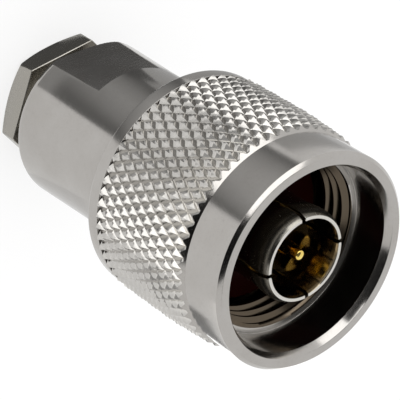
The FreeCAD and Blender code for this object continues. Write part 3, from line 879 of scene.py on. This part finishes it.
def make_contact_pin(sizes):
    shell = Shell(columns=128)
    nose = PIN_TIP - sizes.nose
    shoulder = PIN_TIP - sizes.shoulder
    shoulder_round, foot_chamfer = 0.09 * MM, 0.1 * MM
    dome_depth = sizes.tip_radius * 0.4
    dome_end = PIN_TIP - dome_depth
    dome = [
        (sizes.tip_radius * math.sin(t), dome_end + dome_depth * math.cos(t))
        for t in np.linspace(0.02, math.pi / 2, 10)
    ]
    taper = [
        (sizes.tip_radius + (sizes.radius - sizes.tip_radius) * t, dome_end + (nose - dome_end) * t)
        for t in np.linspace(0.1, 1.0, 10)
    ]
    collar = fillet([
        (sizes.radius, nose),
        (sizes.radius, shoulder),
        (sizes.collar, shoulder),
        (sizes.collar, BEAD_FRONT),
    ], shoulder_round, 4)
    cup_end, drill_point = PIN_FOOT + sizes.cup_length, sizes.cup_radius * 0.02
    first, _ = shell.start([
        *dome,
        *taper,
        *collar[1:],
        (sizes.undercut, BEAD_FRONT),
        (sizes.undercut, SLEEVE_FOOT),
        (sizes.collar, SLEEVE_FOOT),
        (sizes.collar, PIN_FOOT + foot_chamfer),
        (sizes.collar - foot_chamfer, PIN_FOOT),
        (sizes.cup_radius, PIN_FOOT),
        (sizes.cup_radius, cup_end),
        (drill_point, cup_end + sizes.cup_radius),
    ])
    shell.join([first])
    shell.finish("contact_pin", "plug", "gold_plate", "gold_plate")


def make_mating_gasket(sizes):
    shell = Shell(columns=192)
    middle = (GASKET_FRONT + BODY_FRONT) / 2
    shell.start(fillet([
        (sizes.inner, middle),
        (sizes.inner, GASKET_FRONT),
        (sizes.outer, GASKET_FRONT),
        (sizes.outer, BODY_FRONT),
        (sizes.inner, BODY_FRONT),
        (sizes.inner, middle),
    ], sizes.edge, 5))
    shell.finish("mating_gasket", "plug", "red_silicone", "red_silicone")


def make_clamp_nut(sizes):
    shell = Shell(turn=sizes.turn)
    soft = 0.035 * MM  # broken width of the hexagon's edges
    half_side = math.tau / 12
    local = np.mod(shell.angles - sizes.turn, 2 * half_side) - half_side
    corner = sizes.across_flats / 2 / math.cos(half_side)
    flat = sizes.across_flats / 2 / np.cos(local)
    flat = np.minimum(flat, (corner - soft) / np.cos(half_side - np.abs(local)))
    rear_radius = corner - sizes.chamfer
    rise = math.tan(sizes.chamfer_angle)
    chamfer_end = np.maximum(flat - rear_radius, 0) * rise
    bore, lead, edge = sizes.bore, sizes.bore_chamfer, sizes.edge
    deep = (bore, lead * 3)
    first, last = shell.start(
        fillet([deep, (bore, lead), (bore + lead, 0), (rear_radius - edge, 0)], edge)
    )
    root = sizes.neck_root
    start, end = sizes.thickness + 0.35 * MM, NECK_FRONT - 0.3 * MM
    neck_chamfer, neck_foot = 0.25 * MM, 0.12 * MM
    last = shell.line(last, [
        (rear_radius - soft, 0),
        (np.minimum(rear_radius + soft, flat - soft), soft * rise),
        (flat - soft, np.maximum(chamfer_end - soft * rise, 0)),
        (flat, chamfer_end + soft),
        (flat, sizes.thickness - edge),
        (flat - edge, sizes.thickness),
        (root + neck_chamfer, sizes.thickness),
        (root, sizes.thickness + neck_foot),
        (root, start),
    ])

    def run_out(radius, height):
        return np.minimum(radius, root + (height - start) * RUN_OUT)

    radii = (root, sizes.neck_radius)
    low, high = helix(shell, start, end, sizes.neck_pitch, NECK_THREAD, radii, run_out)
    shell.band(last, low)
    bore_end = [(root, end), (root - neck_chamfer, NECK_FRONT), (bore, NECK_FRONT), deep]
    shell.band(shell.line(high, bore_end, slot=1), first, slot=1)
    shell.finish("clamp_nut", "clamp", "nickel_plate", "clamp_nickel", "painted_shade_nickel")


NODE_FINISHES = {
    "nut_retaining_ring": "spring_bronze",
    "front_insulator": "white_fluoropolymer",
    "rear_insulator": "white_fluoropolymer",
    "braid_clamp": "clamp_nickel",
    "cable_seal": "black_rubber",
    "pressure_washer": "clamp_nickel",
}


def finish_inner_pieces():
    """Finishes the pieces whose shapes are used as they are."""
    for node, finish in NODE_FINISHES.items():
        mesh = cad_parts[node].data
        mesh.materials.clear()
        mesh.materials.append(finish_of(finish))


# ---------------------------------------------------------------- studio


FLOOR_REACH = 4.0
# How much of the floor's white is its own, where it is seen, so that its shadow stays soft.
FLOOR_SHARE = 0.72


def seen_directly(make):
    """1 where a ray comes from the camera, or from a reflection or glass, and 0 elsewhere."""
    path = make.node("ShaderNodeLightPath")
    rays = [
        Value(make.tree, path.outputs[name])
        for name in ("Is Camera Ray", "Is Glossy Ray", "Is Transmission Ray")
    ]
    return (rays[0] + rays[1] + rays[2]).clamped()


def make_floor(setup):
    mesh = bpy.data.meshes.new("studio_floor")
    corners = [(-1, -1), (1, -1), (1, 1), (-1, 1)]
    mesh.from_pydata([(x * FLOOR_REACH, y * FLOOR_REACH, 0) for x, y in corners], [], [(0, 1, 2, 3)])
    material, make = new_material("studio_floor")
    matt = make.node("ShaderNodeBsdfDiffuse", Color=setup.backdrop)
    glow = make.glow(setup.backdrop)
    share = seen_directly(make) * FLOOR_SHARE
    make.output(make.node("ShaderNodeMixShader", _0=share, _1=matt.outputs[0], _2=glow.outputs[0]))
    mesh.materials.append(material)
    add_object("studio_floor", mesh)


def make_surroundings(setup):
    world = bpy.data.worlds.new("studio_world")
    bpy.context.scene.world = world
    world.use_nodes = True
    make = Finish(world.node_tree)
    light = make.node("ShaderNodeBackground", Color=WHITE, Strength=setup.world_level)
    seen = make.node("ShaderNodeBackground", Color=setup.backdrop, Strength=1.0)
    mix = make.node(
        "ShaderNodeMixShader", _0=seen_directly(make), _1=light.outputs[0], _2=seen.outputs[0]
    )
    make.output(mix, "World")


# Screens that the metal mirrors. Each has its directions round the axis from the camera's in degrees,
# its lowest and highest points and its distance from the axis in millimetres, and its brightness.
SCREENS = {
    "softbox": ((-76, -6), (200, 560), 400, 2.6),
    "softbox_flag": ((-6, 64), (200, 700), 400, 0.01),
    "upper_strip": ((-68, -32), (49, 92), 110, 2.4),
    "upper_flag": ((-32, 56), (49, 92), 110, 0.03),
    "lower_strip": ((-40, 7), (3, 47), 110, 2.15),
    "lower_strip_end": ((-60, -40), (3, 47), 110, 1.5),
    "lower_flag": ((7, 50), (20, 47), 110, 0.4),
    "foot_strip": ((7, 50), (3, 20), 110, 1.25),
}

# Sheets on the floor: directions as above, then the nearest and farthest distance from the axis.
# Dim sheets are painted shade of the plug on the floor, and bright strips painted light; only
# reflections show them.
SHEETS = {
    "near_sheet": ((-88, 0), (11, 15), 0.42),
    "left_sheet": ((-128, -76), (15, 52), 0.5),
    "left_sheet_end": ((-145, -128), (15, 52), 0.65),
    "right_sheet": ((106, 143), (34, 50), 0.3),
    "rear_sheet": ((92, 150), (9, 20), 0.86),
    "right_strip": ((80, 143), (57, 110), 1.5),
    "back_strip": ((143, 184), (26, 110), 1.9),
}

# Painted shade: the dark sheet stands for the plug's shadow on the floor.
# The dark sheet's corners are in millimetres, away from the axis towards the camera and then to
# its right. It is lighter in its middle than along its two long edges.
DARK_SHEET = [(15, 0), (160, 14), (160, -160), (52, -160), (16.8, -43.9), (3.5, -20.2), (7, -13)]
# The flat and the side of the hexagon mirror this one, which lies beside the plug's foot as painted
# shade of its contact shadow.
FOOT_SHEET = [(2.7, -6.4), (6.9, -0.5), (8.7, -1.2), (8, -15.5), (4.5, -19.5), (1, -20.5), (-1, -14)]
FOOT_LEVEL = 0.12
# Shares of the dark sheet's span from an edge, and the brightness there.
SHEET_LEVELS = ((0.0, 0.2), (0.1, 0.2), (0.25, 0.36), (0.4, 0.44), (0.7, 0.56), (1.0, 0.6))
SHEET_SPAN = 32 * MM
# Heights in millimetres, one above the other so that no two lie in one plane.
DARK_SHEET_HEIGHT = 0.04
SHEET_HEIGHT = 0.05
SHEET_STEP = 0.01
FOOT_HEIGHT = 0.1
ARC_STEPS = 24
CEILING_HEIGHT = 700
CEILING_RADIUS = 420
CEILING_LEVEL = 0.12


def studio_point(setup, away, side, height):
    """A place by its distance from the axis towards the camera, then to its right, then its height."""
    out = Vector((math.cos(setup.camera_azimuth), math.sin(setup.camera_azimuth), 0))
    across = Vector((-out.y, out.x, 0))
    return out * away + across * side + Vector((0, 0, height))


def point_in_millimetres(setup, *place):
    return studio_point(setup, *(distance * MM for distance in place))


def add_screen(name, points, faces, material):
    """A screen that only mirror images show."""
    mesh = bpy.data.meshes.new(name)
    mesh.from_pydata(points, [], faces)
    mesh.materials.append(material)
    screen = add_object(name, mesh)
    screen.visible_camera = False
    screen.visible_diffuse = False
    screen.visible_transmission = False
    screen.visible_shadow = False


def add_sheet(setup, name, corners, height, material):
    """A flat sheet just above the floor. Its corners and height are in millimetres."""
    points = [point_in_millimetres(setup, away, side, height) for away, side in corners]
    add_screen(name, points, [tuple(range(len(points)))], material)


def glowing(name, level):
    material, make = new_material(name)
    make.output(make.glow(WHITE, level))
    return material


def dark_sheet_material(setup):
    """Painted shade: dark grey, and darker towards the sheet's two long edges."""
    material, make = new_material("dark_sheet")
    x, y, _ = make.axes()

    def from_edge(first, second):
        """Distance from the line through two points, on the sheet's side of it."""
        start, end = (point_in_millimetres(setup, *corner, 0) for corner in (first, second))
        along = (end - start).normalized()
        away = Vector((along.y, -along.x))
        return x * away.x + y * away.y - (start.x * away.x + start.y * away.y)

    near = from_edge(DARK_SHEET[0], DARK_SHEET[1])
    far = from_edge(DARK_SHEET[4], DARK_SHEET[5])
    share = near.math("MINIMUM", near, far) / SHEET_SPAN
    make.output(make.glow(make.ramped(share, *SHEET_LEVELS)))
    return material


def arc_points(setup, turns, radius, height):
    """Points at equal steps between two directions."""
    turns = np.radians(np.linspace(*turns, ARC_STEPS + 1))
    return [
        point_in_millimetres(setup, radius * math.cos(turn), radius * math.sin(turn), height)
        for turn in turns
    ]


def make_screens(setup):
    faces = [(k, k + 1, k + ARC_STEPS + 2, k + ARC_STEPS + 1) for k in range(ARC_STEPS)]
    for name, (turns, heights, radius, level) in SCREENS.items():
        points = [p for height in heights for p in arc_points(setup, turns, radius, height)]
        add_screen(name, points, faces, glowing(name, level))
    for layer, (name, (turns, reach, level)) in enumerate(SHEETS.items()):
        height = SHEET_HEIGHT + SHEET_STEP * layer
        points = [p for radius in reach for p in arc_points(setup, turns, radius, height)]
        add_screen(name, points, faces, glowing(name, level))
    add_sheet(setup, "dark_sheet", DARK_SHEET, DARK_SHEET_HEIGHT, dark_sheet_material(setup))
    add_sheet(setup, "foot_sheet", FOOT_SHEET, FOOT_HEIGHT, glowing("foot_sheet", FOOT_LEVEL))
    points = arc_points(setup, (0, 360), CEILING_RADIUS, CEILING_HEIGHT)[1:]
    add_screen("ceiling", points, [tuple(range(len(points)))], glowing("ceiling", CEILING_LEVEL))


def make_camera(setup):
    data = bpy.data.cameras.new("studio_camera")
    data.lens = setup.lens
    data.sensor_width = 36.0
    data.clip_start = 0.005
    data.clip_end = 20.0
    camera = add_object("studio_camera", data)
    stand = studio_point(setup, setup.camera_distance, 0, setup.camera_height)
    aim = studio_point(setup, 0, setup.aim_side, setup.aim_height)
    look = (aim - stand).to_track_quat("-Z", "Y").to_matrix().to_4x4()
    camera.matrix_world = Matrix.Translation(stand) @ look @ Matrix.Rotation(setup.roll, 4, "Z")
    bpy.context.scene.camera = camera


# ---------------------------------------------------------------- operators


class PieceOperator:
    """What the piece operators share."""

    bl_options = {"REGISTER", "UNDO"}


class PLUG_OT_coupling_nut(PieceOperator, bpy.types.Operator):
    """Makes the knurled coupling nut with its thread."""

    bl_idname = "plug.coupling_nut"
    bl_label = "Coupling nut"

    def execute(self, context):
        make_coupling_nut(context.scene.plug_nut)
        return {"FINISHED"}


class PLUG_OT_plug_body(PieceOperator, bpy.types.Operator):
    """Makes the barrel with its two wrench flats."""

    bl_idname = "plug.plug_body"
    bl_label = "Plug body"

    def execute(self, context):
        make_plug_body(context.scene.plug_body)
        return {"FINISHED"}


class PLUG_OT_contact_sleeve(PieceOperator, bpy.types.Operator):
    """Makes the slotted contact sleeve."""

    bl_idname = "plug.contact_sleeve"
    bl_label = "Contact sleeve"

    def execute(self, context):
        make_contact_sleeve(context.scene.plug_sleeve)
        return {"FINISHED"}


class PLUG_OT_contact_pin(PieceOperator, bpy.types.Operator):
    """Makes the gold centre pin."""

    bl_idname = "plug.contact_pin"
    bl_label = "Contact pin"

    def execute(self, context):
        make_contact_pin(context.scene.plug_pin)
        return {"FINISHED"}


class PLUG_OT_mating_gasket(PieceOperator, bpy.types.Operator):
    """Makes the silicone gasket."""

    bl_idname = "plug.mating_gasket"
    bl_label = "Mating gasket"

    def execute(self, context):
        make_mating_gasket(context.scene.plug_gasket)
        return {"FINISHED"}


class PLUG_OT_clamp_nut(PieceOperator, bpy.types.Operator):
    """Makes the hexagonal clamp nut with its threaded neck."""

    bl_idname = "plug.clamp_nut"
    bl_label = "Clamp nut"

    def execute(self, context):
        make_clamp_nut(context.scene.plug_clamp)
        return {"FINISHED"}


class PLUG_OT_inner_pieces(PieceOperator, bpy.types.Operator):
    """Finishes the insulators, the retaining ring and the cable clamp's inner pieces."""

    bl_idname = "plug.inner_pieces"
    bl_label = "Inner pieces"

    def execute(self, context):
        finish_inner_pieces()
        return {"FINISHED"}


class PLUG_OT_studio(PieceOperator, bpy.types.Operator):
    """Sets up the floor, the surroundings, the screens that the metal mirrors and the camera."""

    bl_idname = "plug.studio"
    bl_label = "Studio"

    def execute(self, context):
        setup = context.scene.plug_studio
        make_floor(setup)
        make_surroundings(setup)
        make_screens(setup)
        make_camera(setup)
        context.scene.view_settings.view_transform = "Standard"
        return {"FINISHED"}


class PLUG_PT_pieces(bpy.types.Panel):
    """Lists the plug's pieces."""

    bl_label = "N Type Plug"
    bl_idname = "PLUG_PT_pieces"
    bl_space_type = "VIEW_3D"
    bl_region_type = "UI"
    bl_category = "Plug"

    def draw(self, context):
        for operator in OPERATORS:
            self.layout.operator(operator.bl_idname)


OPERATORS = (
    PLUG_OT_coupling_nut,
    PLUG_OT_plug_body,
    PLUG_OT_contact_sleeve,
    PLUG_OT_contact_pin,
    PLUG_OT_mating_gasket,
    PLUG_OT_clamp_nut,
    PLUG_OT_inner_pieces,
    PLUG_OT_studio,
)

GROUPS = {
    "plug_nut": NutSizes,
    "plug_body": BodySizes,
    "plug_sleeve": SleeveSizes,
    "plug_pin": PinSizes,
    "plug_gasket": GasketSizes,
    "plug_clamp": ClampNutSizes,
    "plug_finishes": Finishes,
    "plug_studio": StudioSetup,
}


def register():
    for group in GROUPS.values():
        bpy.utils.register_class(group)
    for operator in (*OPERATORS, PLUG_PT_pieces):
        bpy.utils.register_class(operator)
    for name, group in GROUPS.items():
        setattr(bpy.types.Scene, name, PointerProperty(type=group))


def unregister():
    for name in GROUPS:
        delattr(bpy.types.Scene, name)
    for item in (PLUG_PT_pieces, *reversed(OPERATORS), *reversed(list(GROUPS.values()))):
        bpy.utils.unregister_class(item)


def main():
    register()
    bpy.ops.plug.coupling_nut()
    bpy.ops.plug.plug_body()
    bpy.ops.plug.contact_sleeve()
    bpy.ops.plug.contact_pin()
    bpy.ops.plug.mating_gasket()
    bpy.ops.plug.clamp_nut()
    bpy.ops.plug.inner_pieces()
    bpy.ops.plug.studio()


if __name__ == "__main__":
    main()
